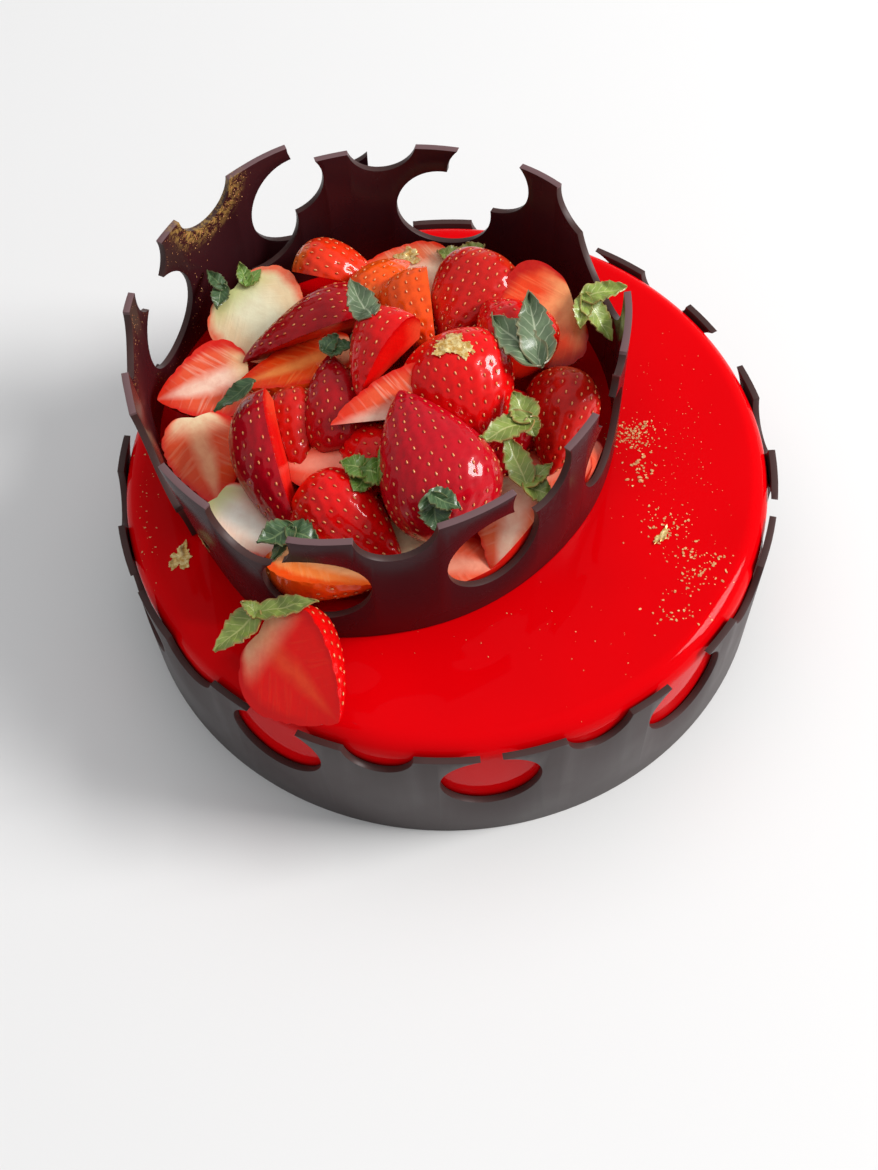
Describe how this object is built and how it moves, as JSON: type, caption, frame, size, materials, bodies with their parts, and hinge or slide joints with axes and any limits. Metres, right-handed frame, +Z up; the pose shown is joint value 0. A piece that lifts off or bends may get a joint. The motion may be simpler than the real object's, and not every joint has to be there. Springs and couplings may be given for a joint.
{
  "type": "mirror-glazed strawberry mousse cake",
  "caption": "Round mousse cake in red mirror glaze with a punched dark chocolate band and a tall punched chocolate crown that holds cut strawberries and gold leaf.",
  "frame": {"origin": "centre of the round cake's underside, on the surface it rests on", "axes": "+Z up; -Y towards the side shown in front in the picture; +X to that view's right"},
  "size_m": [0.18, 0.18, 0.09],
  "materials": {
    "berry_dark": "wet glazed fruit",
    "berry_orange": "wet glazed fruit",
    "berry_pale": "wet glazed fruit",
    "berry_pink": "wet glazed fruit",
    "berry_red": "wet glazed fruit",
    "dark_chocolate": "satin tempered chocolate",
    "red_glaze": "mirror gloss fruit glaze",
    "strawberry_leaf": "matte leaf"
  },
  "bodies": {
    "root": {"berry_at_side_hole": "berry_pink", "berry_big_front": "berry_red", "berry_cream_front": "berry_pale", "berry_cut_half_left": "berry_pink", "berry_cut_middle": "berry_pink", "berry_dark_upright": "berry_dark", "berry_dull_right": "berry_dark", "berry_glossy_white_half": "berry_pale", "berry_gold_topped": "berry_red", "berry_half_gold_flake": "berry_pale", "berry_half_on_glaze": "berry_red", "berry_half_with_calyx": "berry_pink", "berry_in_front_hole": "berry_pink", "berry_long_dark_half": "berry_dark", "berry_long_left": "berry_red", "berry_lower_layer": "berry_dark", "berry_orange_back": "berry_orange", "berry_orange_in_hole": "berry_orange", "berry_orange_slice_back": "berry_orange", "berry_orange_wedge": "berry_orange", "berry_pale_half_left": "berry_pale", "berry_pink_wedge_top": "berry_pink", "berry_red_over_leaf": "berry_red", "berry_seeded_back": "berry_red", "berry_seeded_front": "berry_red", "berry_small_orange": "berry_orange", "berry_small_wedge_top": "berry_red", "berry_smooth_cut_right": "berry_pink", "berry_striped_slice": "berry_orange", "berry_under_cap": "berry_dark", "berry_under_leaf_pair": "berry_red", "berry_white_half_left": "berry_pale", "berry_wide_half_right": "berry_pink", "chocolate_side_band": "dark_chocolate", "crown_left_strip": "dark_chocolate", "crown_long_strip": "dark_chocolate", "glazed_cake": "red_glaze", "leaf_big_front": "strawberry_leaf", "leaf_cap": "strawberry_leaf", "leaf_front": "strawberry_leaf", "leaf_glaze_berry": "strawberry_leaf", "leaf_gold_half": "strawberry_leaf", "leaf_half_front": "strawberry_leaf", "leaf_long_dark": "strawberry_leaf", "leaf_long_left": "strawberry_leaf", "leaf_middle": "strawberry_leaf", "leaf_pair": "strawberry_leaf", "leaf_slice": "strawberry_leaf", "leaf_white_half_left": "strawberry_leaf", "leaf_white_half_right": "strawberry_leaf", "leaf_wide_half": "strawberry_leaf"}
  },
  "joints": []
}
